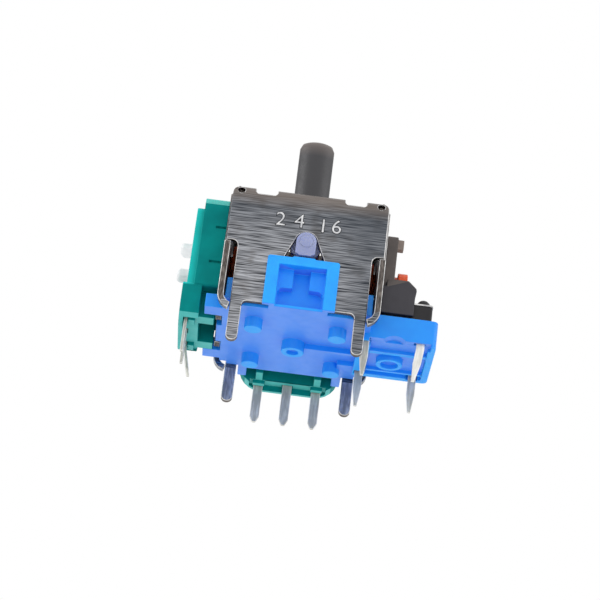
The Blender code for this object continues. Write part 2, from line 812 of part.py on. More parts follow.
def housing(side, foot_inner, lug):
    body = rounded(
        [
            (-housing_half, housing_step, 0.3),
            (housing_half, housing_step, 0.3),
            (housing_half, housing_top, 0.45),
            (-housing_half, housing_top, 0.45),
        ],
        steps=3,
    )
    plate = rounded(
        [
            (-housing_plate_half, housing_step - 0.2, 0),
            (housing_plate_half, housing_step - 0.2, 0),
            (housing_plate_half, housing_plate_top, 0.45),
            (-housing_plate_half, housing_plate_top, 0.45),
        ],
        steps=3,
    )
    foot = rounded(
        [
            (-housing_foot_half, housing_bottom, housing_corner),
            (housing_foot_half, housing_bottom, housing_corner),
            (housing_foot_half, housing_step + 0.25, 0.25),
            (-housing_foot_half, housing_step + 0.25, 0.25),
        ],
        steps=6,
    )
    steps = [
        ("+", extruded(plate, "Y", housing_body - 0.4, housing_plate)),
        ("+", extruded(foot, "Y", foot_inner, housing_foot)),
    ]
    for su in (-1, 1):
        u0, u1 = sorted((su * lug[0], su * lug[1]))
        steps.append(("+", block(u0, u1, 0.1, foot_inner + 0.4, under_recess_top, housing_step + 0.3)))
    inner_foot = block(
        -under_recess_half,
        under_recess_half,
        foot_inner - 1.5,
        housing_foot - under_recess_wall,
        -1.0,
        under_recess_top,
    )
    steps += [
        ("-", inner_foot),
        ("-", block(-cavity_half, cavity_half, -1.0, cavity_depth, cavity_bottom, cavity_top)),
        ("-", rod("Y", (0.0, axis_height), housing_bore, 0.0, 4.0, sides=32)),
    ]
    for number in (-1, 0, 1):
        half = terminal_width / 2 + terminal_clearance
        thick = terminal_thickness / 2 + terminal_clearance
        u = number * terminal_pitch
        low = terminal_out - thick
        high = terminal_out + thick
        steps.append(("-", block(u - half, u + half, low, high, -1.0, terminal_top + terminal_clearance)))
    for number in (-1, 1):
        u = number * terminal_pitch
        half = terminal_width / 2 + 0.1
        low = terminal_out - terminal_thickness / 2 - terminal_clearance - terminal_rib
        high = low + terminal_rib - 0.02
        steps.append(("+", block(u - half, u + half, low, high, under_recess_top - 0.35, under_recess_top + 0.3)))
    first = extruded(body, "Y", housing_gap, housing_body)
    steps = [(kind, to_side(mesh, side)) for kind, mesh in steps]
    piece(f"{side}_pot_housing", green, to_side(first, side), steps)


def element(side):
    low = cavity_bottom + element_margin
    high = cavity_top - element_margin
    first = block(-element_half, element_half, element_in, element_out, low, high)
    hole = rod("Y", (0.0, axis_height), element_hole, -1.0, 2.0, sides=28)
    piece(f"{side}_pot_element", board, to_side(first, side), [("-", to_side(hole, side))])


def terminal(side, number, tip, bend):
    """A thin strip with a pointed end; bend moves its tip toward the frame."""
    half = terminal_width / 2
    u = (number - 2) * terminal_pitch
    outline = [
        (u - half, terminal_top),
        (u - half, terminal_bend),
        (u - half, tip + terminal_point),
        (u - half * 0.4, tip),
        (u + half * 0.4, tip),
        (u + half, tip + terminal_point),
        (u + half, terminal_bend),
        (u + half, terminal_top),
    ]
    thick = terminal_thickness / 2
    mesh = extruded(outline, "Y", terminal_out - thick, terminal_out + thick)
    for point in mesh.vertices:
        drop = terminal_bend - point.co.z / MM
        if drop > 0.0:
            point.co.y -= bend * MM * drop / (terminal_bend - tip)
    piece(f"{side}_terminal_{number}", tin, to_side(mesh, side))


def rotor(side, origin):
    disc = rod("Y", (0.0, axis_height), rotor_disc_radius, rotor_disc_in, rotor_disc_out, sides=40)
    boss = rod("Y", (0.0, axis_height), rotor_boss_radius, rotor_disc_in + 0.1, rotor_boss_out, sides=32)
    steps = [("+", boss)]
    for sz in (-1, 1):
        lug = [
            (-rotor_lug_half, axis_height + sz * rotor_lug_near),
            (rotor_lug_half, axis_height + sz * rotor_lug_near),
            (rotor_lug_half * 0.75, axis_height + sz * rotor_lug_far * 0.86),
            (0.0, axis_height + sz * rotor_lug_far),
            (-rotor_lug_half * 0.75, axis_height + sz * rotor_lug_far * 0.86),
        ]
        steps.append(("+", extruded(lug, "Y", rotor_boss_out - 0.2, rotor_lug_out)))
    slot = block(
        -rotor_slot_half_width,
        rotor_slot_half_width,
        0.0,
        rotor_slot_depth,
        axis_height - rotor_slot_half_height,
        axis_height + rotor_slot_half_height,
    )
    steps.append(("-", slot))
    steps = [(kind, to_side(mesh, side)) for kind, mesh in steps]
    piece(f"{side}_rotor", white, to_side(disc, side), steps, origin=origin)


def wiper(side, origin):
    ring = rod("Y", (0.0, axis_height), wiper_ring_out, wiper_in, wiper_out, sides=32)
    steps = [("-", rod("Y", (0.0, axis_height), wiper_ring_in, 0.0, 2.0, sides=28))]
    for number in (0, 1, 2):
        angle = math.radians(90 + 120 * number)
        reach = 0.5 * (wiper_ring_in + wiper_ring_out)
        u = reach * math.cos(angle)
        z = axis_height + reach * math.sin(angle)
        bump = rod("Y", (u, z), wiper_bump_radius, wiper_bump_in, wiper_in + 0.05, sides=10)
        steps.append(("+", bump))
    steps = [(kind, to_side(mesh, side)) for kind, mesh in steps]
    piece(f"{side}_wiper", bronze, to_side(ring, side), steps, origin=origin)


left_axis = (-frame_half - 1.0, 0.0, axis_height)
centre_axis = (0.0, 0.0, axis_height)
housing("left", foot_inner_left, left_lug)
housing("back", foot_inner_back, back_lug)
element("left")
element("back")
for number in (1, 2, 3):
    terminal("left", number, left_terminal_tip, bent_terminal_shift if number == 3 else 0.0)
for number in (1, 2, 3):
    terminal("back", number, back_terminal_tip, 0.0)
rotor("left", left_axis)
rotor("back", centre_axis)
wiper("left", left_axis)
wiper("back", centre_axis)

# The lower yoke: a bar along X with a frame for the stick, a blade at the left and a journal at the right
hub = block(-hub_x, hub_x, -hub_y, hub_y, axis_height - hub_half_height, axis_height + hub_half_height)
on_axis = (0.0, axis_height)
tilt_steps = [
    ("+", rod("X", on_axis, bar_radius, -frame_half - 0.165, -hub_x + 0.3, sides=28)),
    ("+", rod("X", on_axis, bar_radius, hub_x - 0.3, journal_in + 0.2, sides=28)),
    ("+", rod("X", on_axis, collar_radius, -collar_out, -collar_in, sides=36)),
    ("+", rod("X", on_axis, collar_radius, collar_in, collar_out, sides=36)),
    ("+", rod("X", on_axis, journal_radius, journal_in, journal_out, sides=36)),
    (
        "+",
        block(
            -blade_end,
            -wall_in - 0.115,
            -blade_half_width,
            blade_half_width,
            axis_height - blade_half_height,
            axis_height + blade_half_height,
        ),
    ),
    ("-", block(-hub_inner_x, hub_inner_x, -hub_inner_y, hub_inner_y, axis_height - 2.0, axis_height + 2.0)),
    ("-", rod("Y", on_axis, stick_eye_radius, -3.0, 3.0, sides=20)),
]
piece("tilt_arm", orange, hub, tilt_steps, origin=left_axis)
piece("stick_pin", steel, rod("Y", on_axis, pin_radius, -pin_length / 2, pin_length / 2, sides=20), origin=left_axis)


# The upper yoke: an arched strip along Y with a slot for the stick, cheeks, the front tongue and the back blade
def arch_section(outer, inner, half_angle):
    up = 90.0
    rim = arc((0.0, axis_height), outer, up - half_angle, up + half_angle, 12)
    return rim + arc((0.0, axis_height), inner, up + half_angle, up - half_angle, 12)


cheek = arc((0.0, axis_height), arch_outer, 90 - arch_half_angle, 90 + arch_half_angle, 10)
cheek += arc((0.0, axis_height), cheek_half, 180.0, 360.0, 12)
tongue = arc((0.0, axis_height), tongue_half, 0.0, 180.0, 14)
tongue += rounded(
    [
        (-tongue_half, axis_height - tongue_reach + 0.25, 0),
        (-0.45, axis_height - tongue_reach + 0.03, 0),
        (0.45, axis_height - tongue_reach + 0.03, 0),
        (tongue_half, axis_height - tongue_reach + 0.25, 0),
    ]
)
cross_steps = [
    ("-", block(-arch_slot_half_width, arch_slot_half_width, -arch_slot_half_length, arch_slot_half_length, 8.0, 12.0)),
    ("+", extruded(cheek, "Y", -cheek_out, -cheek_in)),
    ("+", extruded(cheek, "Y", cheek_in, cheek_out)),
    ("+", extruded(tongue, "Y", -tongue_front, -cheek_out + 0.3)),
    ("+", rod("Y", on_axis, tongue_mark_radius, -tongue_front - tongue_mark_height, -tongue_front + 0.2, sides=24)),
    ("+", rod("Y", on_axis, back_journal_radius, cheek_out - 0.3, frame_half + 0.12, sides=28)),
    (
        "+",
        block(
            -blade_half_width,
            blade_half_width,
            frame_half - 0.2,
            blade_end,
            axis_height - blade_half_height,
            axis_height + blade_half_height,
        ),
    ),
]
arch_strip = extruded(
    arch_section(arch_outer, arch_inner, arch_half_angle), "Y", -arch_half_length, arch_half_length
)
piece("cross_arm", pale, arch_strip, cross_steps, origin=centre_axis)


# The stick: a double-D shaft above, a round neck through both yokes and a domed foot
def shaft_outline(shrink):
    """Two arcs joined by the flats."""
    flat = stick_half_x - shrink
    radius = stick_half_y - shrink
    corner = math.degrees(math.acos(flat / radius))
    upper = arc((0.0, 0.0), radius, corner, 180.0 - corner, 12)
    lower = arc((0.0, 0.0), radius, 180.0 + corner, 360.0 - corner, 12)
    return upper + lower


def shaft():
    """The shaft is a loft of one outline: shoulder, body and the chamfered top."""
    shape = bmesh.new()
    levels = [
        (stick_neck_step, stick_neck_top),
        (0.0, stick_shoulder),
        (0.0, stick_top - stick_chamfer_drop),
        (stick_chamfer_in * 0.4, stick_top - stick_chamfer_drop * 0.3),
        (stick_chamfer_in, stick_top),
    ]
    rings = []
    for shrink, height in levels:
        ring = [shape.verts.new(Vector((p[0], p[1], height)) * MM) for p in shaft_outline(shrink)]
        rings.append(ring)
    loops = []
    for ring in rings:
        loops.append([shape.edges.new((ring[i - 1], ring[i])) for i in range(len(ring))])
    for lower, upper in zip(loops, loops[1:]):
        bmesh.ops.bridge_loops(shape, edges=lower + upper)
    bmesh.ops.contextual_create(shape, geom=loops[0])
    bmesh.ops.contextual_create(shape, geom=loops[-1])
    return finish_mesh(shape, "shaft")


foot = math.degrees(math.asin(stick_neck_radius / stick_foot_radius))
neck_profile = [(0.0, stick_neck_top + 0.15), (stick_neck_radius, stick_neck_top + 0.15)]
for k in range(7):
    angle = math.radians(foot * (1.0 - k / 6.0))
    neck_profile.append(
        (stick_foot_radius * math.sin(angle), axis_height - stick_foot_radius * math.cos(angle))
    )
stick_steps = [
    ("+", turned_solid(neck_profile, 32)),
    ("-", rod("Y", on_axis, stick_eye_radius, -3.0, 3.0, sides=20)),
]
piece("stick", grey, shaft(), stick_steps, origin=centre_axis)


# The return spring and its plate
def coil():
    count = int(spring_turns * 16)
    bead = bpy.data.curves.new("coil", "CURVE")
    bead.dimensions = "3D"
    bead.bevel_depth = spring_wire * MM
    bead.bevel_resolution = 2
    bead.use_fill_caps = True
    line = bead.splines.new("POLY")
    line.points.add(count)
    for k in range(count + 1):
        angle = math.tau * k / 16
        share = k / count
        height = spring_bottom + spring_height * share
        x = spring_radius * math.cos(angle)
        y = spring_radius * math.sin(angle)
        line.points[k].co = (x * MM, y * MM, height * MM, 1.0)
    bead.materials.append(steel)
    made = bpy.data.objects.new("return_spring", bead)
    parts.objects.link(made)
    return made


coil()
piece(
    "spring_plate",
    steel,
    rod("Z", (0.0, 0.0), spring_plate_radius, spring_plate_bottom, spring_plate_top, sides=40),
    origin=(0.0, 0.0, spring_plate_top),
)

# The push switch: body with studs, cover, snap dome, button and four tapered pins
left = switch_x - switch_half
right = switch_x + switch_half
front = switch_y - switch_half
back = switch_y + switch_half


def stud(sx, sy, cover_top):
    profile = [(0.0, cover_top + stud_height)]
    for k in range(1, 6):
        angle = math.radians(90.0 * k / 5)
        profile.append((stud_radius * math.sin(angle), cover_top + 0.04 + (stud_height - 0.04) * math.cos(angle)))
    profile.append((stud_neck, cover_top + 0.04))
    profile.append((stud_neck, switch_body_top - 0.3))
    profile.append((0.0, switch_body_top - 0.3))
    return moved(turned_solid(profile, 16), switch_x + sx * stud_x, switch_y + sy * stud_y)


body_steps = [("-", rod("Z", (switch_x, switch_y), switch_bore, switch_bore_floor, 6.0, sides=32))]
cover_steps = [("-", rod("Z", (switch_x, switch_y), switch_bore, 3.0, 6.0, sides=32))]
for sx in (-1, 1):
    for sy in (-1, 1):
        body_steps.append(("+", stud(sx, sy, cover_high)))
        place = (switch_x + sx * stud_x, switch_y + sy * stud_y)
        hole = rod("Z", place, stud_neck + clearance, 3.0, 6.0, sides=16)
        cover_steps.append(("-", hole))
body_outline = rounded(
    [(left, front, 0.25), (right, front, 0.25), (right, back, 0.25), (left, back, 0.25)], steps=3
)
piece("switch_body", black, extruded(body_outline, "Z", switch_bottom, switch_body_top), body_steps)
over = cover_overlap
cover_outline = rounded(
    [
        (left - over, front - over, 0.25),
        (right + over, front - over, 0.25),
        (right + over, back + over, 0.25),
        (left - over, back + over, 0.25),
    ],
    steps=3,
)
piece("switch_cover", nickel, extruded(cover_outline, "Z", cover_low, cover_high), cover_steps)
dome_profile = []
for k in range(9):
    share = k / 8
    dome_profile.append((dome_radius * share, dome_height * (1.0 - share * share)))
outer = [(r, z + dome_thickness) for r, z in dome_profile]
dome_ring = outer + [(r, z) for r, z in reversed(dome_profile)]
snap = moved(turned_solid(dome_ring, 24), switch_x, switch_y, switch_bore_floor + 0.04)
piece("switch_dome", bronze, snap)
piece(
    "switch_plunger",
    black,
    rod("Z", (switch_x, switch_y), plunger_radius, plunger_bottom, plunger_top, sides=32),
    origin=(switch_x, switch_y, plunger_top),
)


def switch_pin(name, sx, sy, shift):
    middle = switch_x + sx * pin_pitch_x
    half = pin_width / 2
    outline = [
        (middle - half, pin_top),
        (middle - half, pin_bend),
        (middle - half, pin_taper_start),
        (middle - pin_point_half, pin_tip),
        (middle + pin_point_half, pin_tip),
        (middle + half, pin_taper_start),
        (middle + half, pin_bend),
        (middle + half, pin_top),
    ]
    y = switch_y + sy * pin_pitch_y
    mesh = extruded(outline, "Y", y - pin_thickness / 2, y + pin_thickness / 2)
    for point in mesh.vertices:
        drop = pin_bend - point.co.z / MM
        if drop > 0.0:
            point.co.x += shift * MM * drop / (pin_bend - pin_tip)
    piece(name, tin, mesh)


switch_pin("switch_terminal_1", -1, -1, 0.0)
switch_pin("switch_terminal_2", 1, -1, bent_pin_shift)
switch_pin("switch_terminal_3", -1, 1, 0.0)
switch_pin("switch_terminal_4", 1, 1, 0.0)

# The push slider: an upright plate on the right wall, a saddle for the yoke's end and skirts beside the switch
saddle = rounded(
    [
        (slider_plate_inner + 0.3, slider_block_bottom, 0),
        (slider_outer - 0.07, slider_block_bottom, 0),
        (slider_outer, slider_block_bottom + 0.08, 0),
        (slider_outer, slider_shoulder - 0.18, 0.1),
        (slider_outer - 0.05, slider_shoulder, 0.1),
        (slider_outer - slider_slope, slider_block_top, 0.1),
        (slider_plate_inner + 0.3, slider_block_top, 0),
    ],
    steps=3,
)
skirt_x = (slider_plate_inner, slider_outer - 0.08)
skirt_z = (slider_skirt_bottom, slider_skirt_top)
skirt_front = block(*skirt_x, slider_front, front - 0.06, *skirt_z)
skirt_back = block(*skirt_x, back + 0.06, slider_back, *skirt_z)
plate_shape = rounded(
    [
        (-slider_plate_half, slider_block_bottom, 0),
        (slider_plate_half, slider_block_bottom, 0),
        (slider_plate_half, slider_plate_top, slider_plate_round),
        (-slider_plate_half, slider_plate_top, slider_plate_round),
    ],
    steps=3,
)
groove = rounded(
    [
        (-slider_groove, axis_height - slider_groove, slider_groove * 0.99),
        (slider_groove, axis_height - slider_groove, slider_groove * 0.99),
        (slider_groove, axis_height + 1.6, 0),
        (-slider_groove, axis_height + 1.6, 0),
    ],
    steps=8,
)
slider_steps = [
    ("+", extruded(saddle, "Y", slider_front, slider_back)),
    ("+", skirt_front),
    ("+", skirt_back),
    ("+", block(slider_plate_outer - 0.2, nub_outer, nub_front, nub_front + nub_length, nub_bottom, nub_top)),
    ("-", extruded(groove, "X", slider_plate_outer - 0.01, slider_outer + 1.0)),
    ("-", rod("X", on_axis, bar_radius + 0.2, slider_plate_inner - 0.5, slider_plate_outer + 0.5, sides=28)),
]
piece(
    "push_slider",
    grey,
    extruded(plate_shape, "X", slider_plate_inner, slider_plate_outer),
    slider_steps,
    origin=(journal_in, 0.0, axis_height),
)
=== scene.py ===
import json
import math

import bmesh
import bpy
from mathutils import Matrix, Vector
from mathutils.bvhtree import BVHTree


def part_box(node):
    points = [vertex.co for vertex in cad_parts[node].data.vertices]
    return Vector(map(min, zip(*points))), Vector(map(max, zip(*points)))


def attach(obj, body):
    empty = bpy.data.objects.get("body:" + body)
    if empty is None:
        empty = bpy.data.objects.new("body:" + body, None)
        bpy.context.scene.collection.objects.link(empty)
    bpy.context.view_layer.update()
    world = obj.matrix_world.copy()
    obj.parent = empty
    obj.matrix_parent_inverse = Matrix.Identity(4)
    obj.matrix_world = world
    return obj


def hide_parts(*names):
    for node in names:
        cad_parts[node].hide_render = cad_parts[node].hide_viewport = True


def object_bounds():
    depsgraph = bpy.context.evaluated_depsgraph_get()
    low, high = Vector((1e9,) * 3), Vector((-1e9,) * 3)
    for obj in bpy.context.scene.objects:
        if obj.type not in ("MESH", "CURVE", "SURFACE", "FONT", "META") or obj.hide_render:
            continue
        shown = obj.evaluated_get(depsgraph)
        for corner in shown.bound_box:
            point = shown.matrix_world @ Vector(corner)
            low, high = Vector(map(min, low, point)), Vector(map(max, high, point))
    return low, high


mm = 0.001
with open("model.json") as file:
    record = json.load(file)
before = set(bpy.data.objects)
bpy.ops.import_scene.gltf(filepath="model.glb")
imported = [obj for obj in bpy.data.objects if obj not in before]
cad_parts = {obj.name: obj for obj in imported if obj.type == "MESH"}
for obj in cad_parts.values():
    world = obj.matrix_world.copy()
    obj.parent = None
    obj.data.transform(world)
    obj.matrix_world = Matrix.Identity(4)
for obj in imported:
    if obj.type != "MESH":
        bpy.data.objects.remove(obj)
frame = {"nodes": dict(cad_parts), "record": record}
nodes = frame["nodes"]
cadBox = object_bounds()
bodyOf = {name: body for body, names in frame["record"]["behaviour"]["bodies"].items() for name in names}
print("frame loaded:", len(nodes), "nodes")

for spare in [thing for thing in bpy.data.objects if thing.type in ("CAMERA", "LIGHT")]:
    bpy.data.objects.remove(spare)


# colours and node helpers
def linear(hexColour):
    channels = [int(hexColour[i : i + 2], 16) / 255 for i in (1, 3, 5)]
    return [c / 12.92 if c <= 0.04045 else ((c + 0.055) / 1.055) ** 2.4 for c in channels] + [1.0]


def addNode(tree, kind, links=None, values=None, **settings):
    node = tree.nodes.new(kind)
    for name, value in settings.items():
        setattr(node, name, value)
    for name, value in (values or {}).items():
        node.inputs[name].default_value = value
    for name, source in (links or {}).items():
        tree.links.new(source, node.inputs[name])
    return node


def newMaterial(name, base, roughness, metallic=0.0, ior=1.5):
    material = bpy.data.materials.new(name)
    material.use_nodes = True
    shader = material.node_tree.nodes["Principled BSDF"]
    shader.inputs["Base Color"].default_value = linear(base)
    shader.inputs["Roughness"].default_value = roughness
    shader.inputs["Metallic"].default_value = metallic
    shader.inputs["IOR"].default_value = ior
    return material, material.node_tree, shader


# noise whose cells measure cell = (x, y, z) millimetres on the piece, spread from toLow to toHigh
def noiseField(tree, cell, low=0.3, high=0.7, toLow=0.0, toHigh=1.0, detail=2.0, shift=0.0):
    place = addNode(tree, "ShaderNodeTexCoord")
    spread = addNode(
        tree,
        "ShaderNodeMapping",
        links={"Vector": place.outputs["Object"]},
        values={"Scale": [1 / (c * mm) for c in cell], "Location": (shift, shift, shift)},
    )
    noise = addNode(
        tree,
        "ShaderNodeTexNoise",
        links={"Vector": spread.outputs[0]},
        values={"Scale": 1.0, "Detail": detail, "Roughness": 0.55},
    )
    level = addNode(
        tree,
        "ShaderNodeMapRange",
        links={"Value": noise.outputs[0]},
        values={"From Min": low, "From Max": high, "To Min": toLow, "To Max": toHigh},
    )
    return level.outputs["Result"]


# moulded plastic: soft tone patches, dull and shiny areas, and the fine grain of the mould, sizes in mm
# the grain of a real mould is about 0.02 mm; it is drawn wider so that it shows
mould = {
    "tintRange": (0.35, 0.7),
    "dullPatch": 0.6,
    "grain": 0.07,
    "grainRange": (0.2, 0.8),
    "grainDepth": 0.012,
    "grainStrength": 0.3,
    "shinier": 0.06,
    "duller": 0.08,
    "leastGlow": 0.1,
}


def mouldedPlastic(name, colour, deep, roughness, gloss=0.5, glow=0.0, glowDepth=0.4, patch=1.8):
    material, tree, shader = newMaterial(name, colour, roughness)
    shader.inputs["Specular IOR Level"].default_value = gloss
    tint = addNode(
        tree,
        "ShaderNodeMix",
        data_type="RGBA",
        links={0: noiseField(tree, (patch,) * 3, *mould["tintRange"])},
        values={6: linear(colour), 7: linear(deep)},
    )
    tree.links.new(tint.outputs[2], shader.inputs["Base Color"])
    least, most = roughness - mould["shinier"], roughness + mould["duller"]
    dull = noiseField(tree, (mould["dullPatch"],) * 3, toLow=least, toHigh=most)
    tree.links.new(dull, shader.inputs["Roughness"])
    bump = addNode(
        tree,
        "ShaderNodeBump",
        links={"Height": noiseField(tree, (mould["grain"],) * 3, *mould["grainRange"])},
        values={"Strength": mould["grainStrength"], "Distance": mould["grainDepth"] * mm},
    )
    tree.links.new(bump.outputs[0], shader.inputs["Normal"])
    shader.inputs["Subsurface Weight"].default_value = glow
    shader.inputs["Subsurface Scale"].default_value = glowDepth * mm
    reach = [max(mould["leastGlow"], c) for c in linear(colour)[:3]]
    shader.inputs["Subsurface Radius"].default_value = reach
    return material


# drawn, rolled or plated metal: streaks along the working direction in tone, roughness and relief
worked = {
    "streakRange": (0.33, 0.67),
    "patch": 0.9,
    "patchShare": 0.5,
    "patchShift": 3.0,
    "shinier": 0.06,
    "duller": 0.1,
    "relief": 0.002,
    "reliefStrength": 0.4,
}


def workedMetal(name, dark, light, roughness, streak, metallic=1.0):
    material, tree, shader = newMaterial(name, light, roughness, metallic)
    lines = noiseField(tree, streak, *worked["streakRange"])
    patch = (worked["patch"],) * 3
    patches = noiseField(tree, patch, toHigh=worked["patchShare"], shift=worked["patchShift"])
    both = addNode(tree, "ShaderNodeMath", links={0: lines, 1: patches}, operation="ADD", use_clamp=True)
    tint = addNode(
        tree,
        "ShaderNodeMix",
        data_type="RGBA",
        links={0: both.outputs[0]},
        values={6: linear(light), 7: linear(dark)},
    )
    tree.links.new(tint.outputs[2], shader.inputs["Base Color"])
    dull = addNode(
        tree,
        "ShaderNodeMapRange",
        links={"Value": both.outputs[0]},
        values={"To Min": roughness - worked["shinier"], "To Max": roughness + worked["duller"]},
    )
    tree.links.new(dull.outputs["Result"], shader.inputs["Roughness"])
    bump = addNode(
        tree,
        "ShaderNodeBump",
        links={"Height": lines},
        values={"Strength": worked["reliefStrength"], "Distance": worked["relief"] * mm},
    )
    tree.links.new(bump.outputs[0], shader.inputs["Normal"])
    return material


# lets a material's colour run gradually into another one between two places on the piece,
# and out of it again between the two places in back
def fadeAlong(material, axis, start, end, hexColour, share=1.0, back=None):
    tree = material.node_tree
    shader = tree.nodes["Principled BSDF"]
    place = addNode(tree, "ShaderNodeTexCoord")
    spot = addNode(tree, "ShaderNodeSeparateXYZ", links={0: place.outputs["Object"]})
    amount = addNode(
        tree,
        "ShaderNodeMapRange",
        links={"Value": spot.outputs[axis]},
        values={"From Min": start * mm, "From Max": end * mm, "To Min": 0.0, "To Max": share},
    )
    if back:
        left = addNode(
            tree,
            "ShaderNodeMapRange",
            links={"Value": spot.outputs[axis]},
            values={"From Min": back[0] * mm, "From Max": back[1] * mm, "To Min": 1.0, "To Max": 0.0},
        )
        amount = addNode(
            tree,
            "ShaderNodeMath",
            links={0: amount.outputs["Result"], 1: left.outputs["Result"]},
            operation="MULTIPLY",
        )
    faded = addNode(
        tree,
        "ShaderNodeMix",
        data_type="RGBA",
        links={0: amount.outputs[0], 6: shader.inputs["Base Color"].links[0].from_socket},
        values={7: linear(hexColour)},
    )
    tree.links.new(faded.outputs[2], shader.inputs["Base Color"])


# the can's skin: satin nickel on rolled steel
# its rolling streaks run across the flaps and down the side walls; sizes and zones are in mm
sheetLook = {
    "dark": "#202226",
    "light": "#BEC0C6",
    "bend": "#82776F",
    "shaded": "#3E444C",
    "stain": "#5E574F",
    "roughness": 0.33,
    "shinier": 0.06,
    "duller": 0.1,
    "sideFrom": 0.7,
    "streakLength": 2.2,
    "streakWidth": 0.075,
    "streakDepth": 0.004,
    "streakStrength": 0.4,
    "stainSize": 1.7,
    "stainRange": (0.55, 0.8),
    "stainShare": 0.6,
    "stainShift": 7.0,
    "bendZone": (9.7, 10.9),
    "shadedZone": (1.0, 5.0),
    "rightEdge": (6.45, 6.55),
    "upperZone": (5.5, 9.3),
    "roofZone": (11.5, 11.62),
}
nickelSheet, tree, shader = newMaterial(
    "satinNickelSheet",
    sheetLook["light"],
    sheetLook["roughness"],
    metallic=1.0,
)
long, thin = sheetLook["streakLength"], sheetLook["streakWidth"]
place = addNode(tree, "ShaderNodeTexCoord")
facing = addNode(tree, "ShaderNodeSeparateXYZ", links={0: place.outputs["Normal"]})
across = addNode(tree, "ShaderNodeMath", links={0: facing.outputs["X"]}, operation="ABSOLUTE")
onSide = addNode(
    tree,
    "ShaderNodeMath",
    links={0: across.outputs[0]},
    values={1: sheetLook["sideFrom"]},
    operation="GREATER_THAN",
)
streaks = addNode(
    tree,
    "ShaderNodeMix",
    data_type="FLOAT",
    links={
        0: onSide.outputs[0],
        2: noiseField(tree, (long, thin, thin), detail=1.0),
        3: noiseField(tree, (thin, thin, long), detail=1.0),
    },
)
brushed = addNode(
    tree,
    "ShaderNodeMix",
    data_type="RGBA",
    links={0: streaks.outputs[0]},
    values={6: linear(sheetLook["dark"]), 7: linear(sheetLook["light"])},
)
stains = noiseField(
    tree,
    (sheetLook["stainSize"],) * 3,
    *sheetLook["stainRange"],
    toHigh=sheetLook["stainShare"],
    shift=sheetLook["stainShift"],
)
handled = addNode(
    tree,
    "ShaderNodeMix",
    data_type="RGBA",
    links={0: stains, 6: brushed.outputs[2]},
    values={7: linear(sheetLook["stain"])},
)
tree.links.new(handled.outputs[2], shader.inputs["Base Color"])
dull = addNode(
    tree,
    "ShaderNodeMapRange",
    links={"Value": streaks.outputs[0]},
    values={
        "To Min": sheetLook["roughness"] + sheetLook["duller"],
        "To Max": sheetLook["roughness"] - sheetLook["shinier"],
    },
)
tree.links.new(dull.outputs["Result"], shader.inputs["Roughness"])
bump = addNode(
    tree,
    "ShaderNodeBump",
    links={"Height": streaks.outputs[0]},
    values={"Strength": sheetLook["streakStrength"], "Distance": sheetLook["streakDepth"] * mm},
)
tree.links.new(bump.outputs[0], shader.inputs["Normal"])
for axis, zone, colour, share, back in (
    ("X", "shadedZone", "shaded", 0.5, "rightEdge"),
    ("Z", "upperZone", "shaded", 0.55, "roofZone"),
    ("Z", "bendZone", "bend", 0.7, "roofZone"),
):
    fadeAlong(nickelSheet, axis, *sheetLook[zone], sheetLook[colour], share, sheetLook[back])

# punched sheet edges: a grey sheared face with fine lines through the thickness, and rims painted
# bright, a painted highlight
shearedSteel = workedMetal("shearedSteelEdge", "#55504D", "#8B837E", 0.42, (0.12, 0.12, 0.5))
paintedHighlightRim = workedMetal("nickelRimPaintedHighlight", "#B9B8B8", "#F2F0EE", 0.26, (0.5, 0.5, 0.5), metallic=0.6)
solderedLeg = workedMetal("solderTinnedLeg", "#7A7E88", "#BDC1CA", 0.36, (0.2, 0.2, 1.4), metallic=0.5)
stampedStrokePaintedHighlight = workedMetal("stampedStrokeWithPaintedHighlight", "#C6C7CA", "#FAFAFA", 0.3, (0.4, 0.4, 0.4))
stampedShadow = workedMetal("stampedOutlinePaintedShadow", "#2E2F32", "#4A4B4F", 0.45, (0.2, 0.2, 0.2))

# moulded nylon, acetal and resin of the module
blueNylon = mouldedPlastic("blueMouldedNylon", "#1A95F8", "#168CF2", 0.4, gloss=0.4, glow=0.15)
blueThinWallPaintedLight = mouldedPlastic("blueThinNylonWallPaintedLight", "#20A4FB", "#1B99F6", 0.42, gloss=0.35, glow=0.2)
blueUndersidePaintedLight = mouldedPlastic("blueNylonUndersidePaintedLight", "#4C8FF4", "#4288EF", 0.4, gloss=0.5, glow=0.1)
greenNylon = mouldedPlastic("greenMouldedNylon", "#078A87", "#067C7B", 0.5, gloss=0.04, glow=0.1)
greenThinPlatePaintedHighlight = mouldedPlastic("greenThinNylonPlatePaintedHighlight", "#1FC6C1", "#1AB9B4", 0.5, gloss=0.1, glow=0.2)
greenLipPaintedHighlight = mouldedPlastic("greenNylonLipPaintedHighlight", "#5CC7BE", "#4DBBB2", 0.5, gloss=0.3, glow=0.2)
greenUndersidePaintedLight = mouldedPlastic("greenNylonUndersidePaintedLight", "#55BDB9", "#49B0AD", 0.5, gloss=0.2, glow=0.1)
# painted highlight: the outer plate's front is lightest at its left edge and fades into the housing's
# green
fadeAlong(greenThinPlatePaintedHighlight, "X", -9.3, -8.2, "#078A87")
greyAcetal = mouldedPlastic("greyMouldedAcetal", "#35333A", "#2E2C33", 0.42, gloss=0.5)
stickAcetal = mouldedPlastic("greyMouldedAcetalStick", "#19171F", "#151319", 0.34, gloss=0.85)
# painted highlight: the stick grows lighter and browner towards its top rim
fadeAlong(stickAcetal, "Z", 17.6, 18.9, "#6A5E59", 0.75)
brownPaintedReflection = mouldedPlastic("greyAcetalPaintedBrownReflection", "#625A56", "#524C4A", 0.52, gloss=0.4)
nubPaintedHighlight = mouldedPlastic("greyAcetalNubPaintedHighlight", "#8E7F76", "#7A6D66", 0.5, gloss=0.4)
orangeAcetal = mouldedPlastic("orangeMouldedAcetal", "#E85C2C", "#DA4F20", 0.42, gloss=0.3, glow=0.15)
